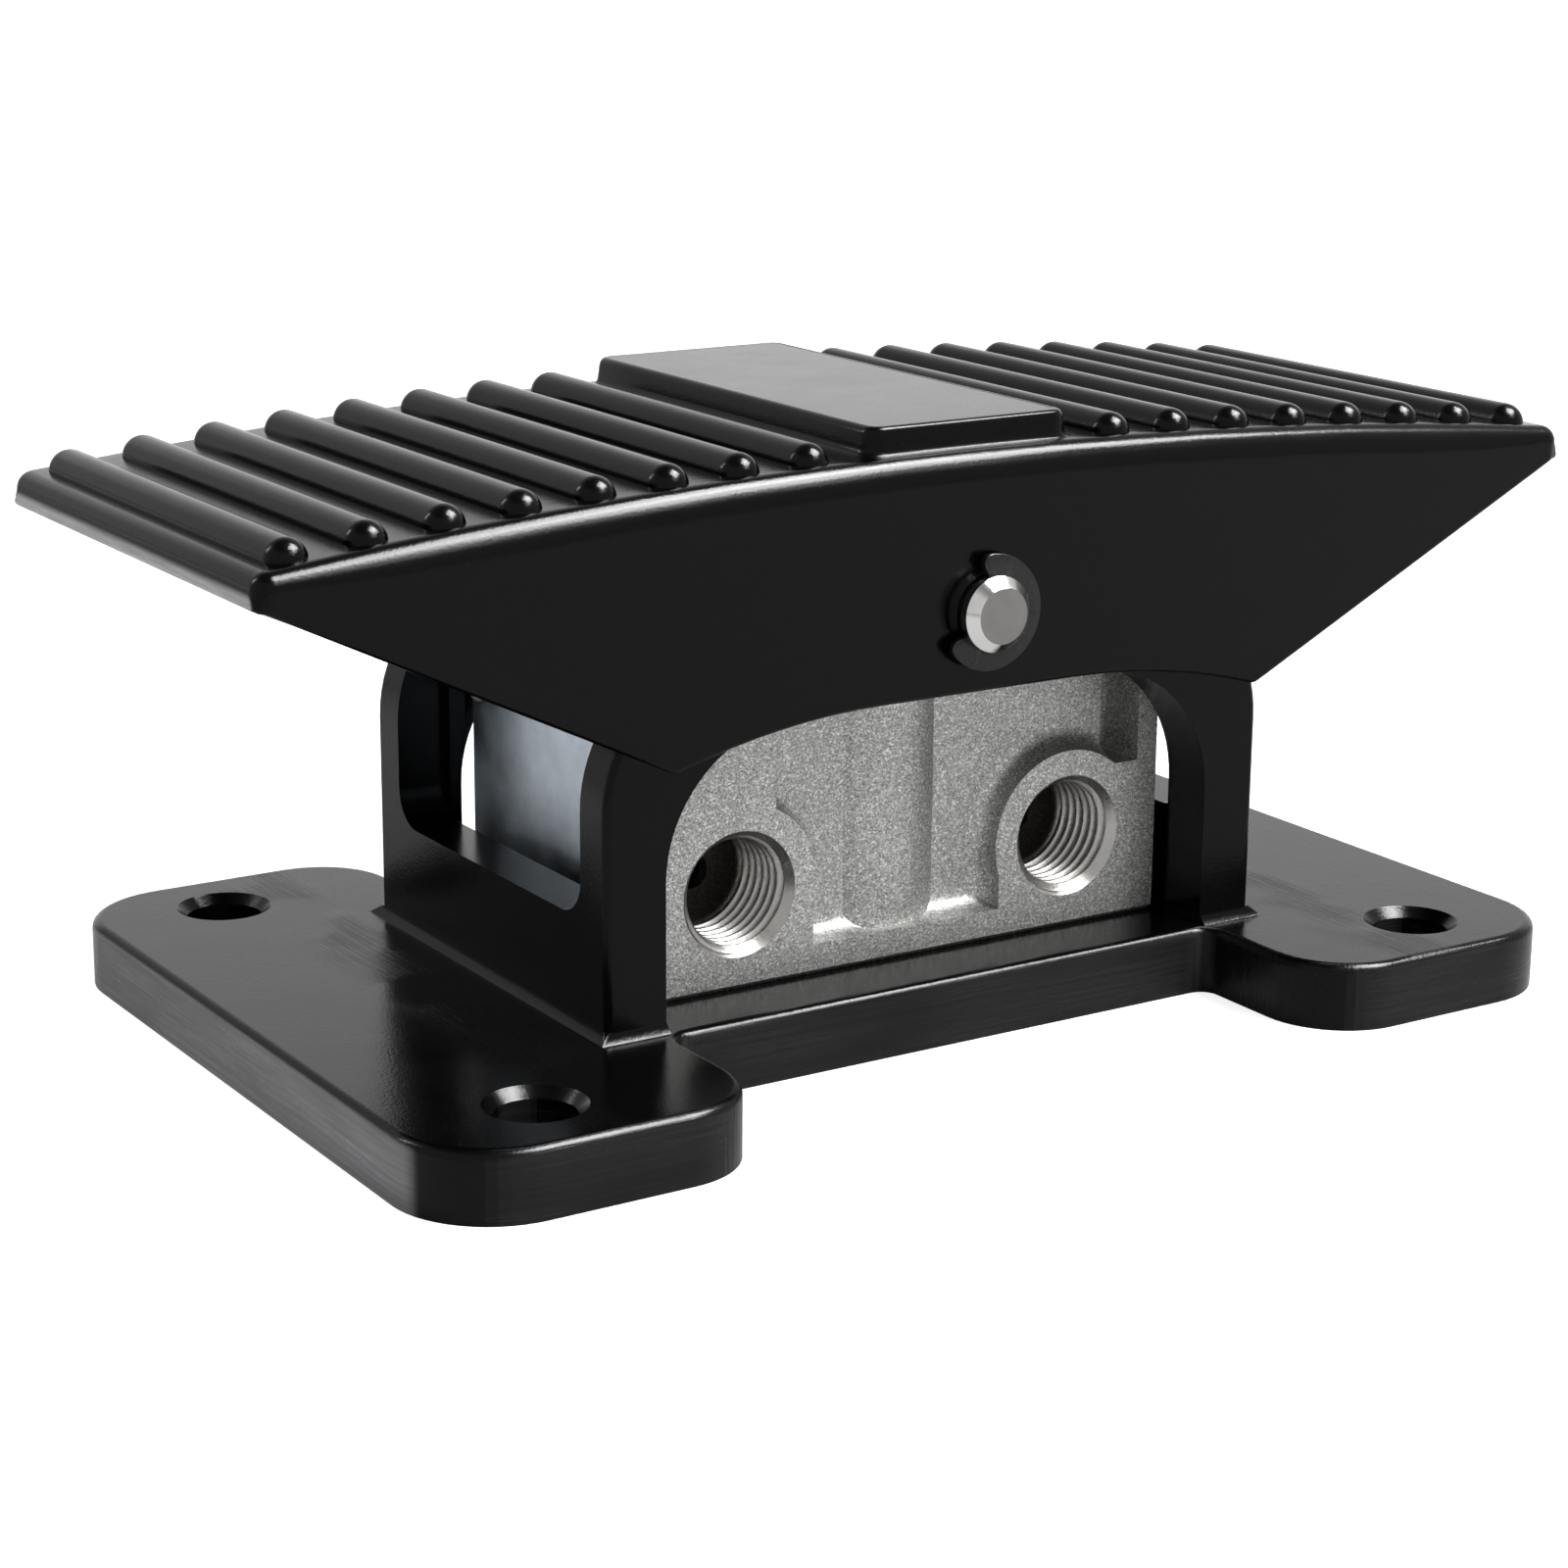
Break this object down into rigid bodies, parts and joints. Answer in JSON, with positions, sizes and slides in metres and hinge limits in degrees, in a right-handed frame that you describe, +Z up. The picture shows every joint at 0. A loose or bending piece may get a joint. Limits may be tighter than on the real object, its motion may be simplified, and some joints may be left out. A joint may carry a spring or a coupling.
{
  "type": "foot pedal air valve",
  "caption": "Rocker foot pedal on a cast H-shaped base that works a pneumatic valve body with threaded exhaust, outlet and supply ports.",
  "frame": {"origin": "centre of the base's underside", "axes": "+X along the pedal's length, -Y towards the two exhaust ports, +Z up; the pivot axis is along Y"},
  "size_m": [0.1614, 0.0948, 0.068],
  "materials": {
    "black_paint": "gloss black paint over a sanded casting",
    "polished_steel": "ground steel, bright chamfers",
    "black_steel": "black oxide, satin",
    "bronze": "sintered bronze, satin",
    "cast_aluminium": "shot-blasted casting, fine sparkle",
    "zinc_plate": "blue-white zinc plating, satin",
    "zinc_screw": "zinc plated, semi-gloss",
    "nbr": "matt black rubber",
    "hardened_steel": "hardened, dark satin",
    "turned_aluminium": "turned, bright",
    "spring_steel": "drawn wire, bright",
    "brass": "turned brass, semi-gloss"
  },
  "bodies": {
    "valve": {"base_frame": "black_paint", "bush_front": "bronze", "bush_rear": "bronze", "valve_body": "cast_aluminium", "end_plate": "zinc_plate", "end_gasket": "nbr", "end_screws": "zinc_screw", "body_screws": "zinc_screw", "screw_washers": "zinc_screw", "gland_left": "brass", "gland_right": "brass", "gland_ring_left": "nbr", "gland_ring_right": "nbr", "stem_seal_left": "nbr", "stem_seal_right": "nbr", "spring_left": "spring_steel", "spring_right": "spring_steel"},
    "pedal": {"pedal": "black_paint", "pivot_pin": "polished_steel", "clip_front": "black_steel", "clip_rear": "black_steel", "tappet_left": "hardened_steel", "tappet_right": "hardened_steel"},
    "plunger_left": {"spool_left": "turned_aluminium", "spool_ring_left": "nbr"},
    "plunger_right": {"spool_right": "turned_aluminium", "spool_ring_right": "nbr"}
  },
  "joints": [
    {"name": "pedal_rock", "type": "hinge", "parent": "valve", "child": "pedal", "pos_m": [0, 0, 0.0486], "axis": [0, 1, 0], "range_deg": [-7, 7]},
    {"name": "plunger_left_slide", "type": "slide", "parent": "valve", "child": "plunger_left", "axis": [0, 0, 1], "range_m": [-0.00265, 0.00265], "stiffness_N_per_m": 3000, "springref_m": 0.004, "deforming": ["spring_left"]},
    {"name": "plunger_right_slide", "type": "slide", "parent": "valve", "child": "plunger_right", "axis": [0, 0, 1], "range_m": [-0.00265, 0.00265], "stiffness_N_per_m": 3000, "springref_m": 0.004, "deforming": ["spring_right"]}
  ],
  "couplings": [
    {"joint": "plunger_left_slide", "follows": "pedal_rock", "m_per_rad": 0.02145},
    {"joint": "plunger_right_slide", "follows": "pedal_rock", "m_per_rad": -0.02145}
  ]
}
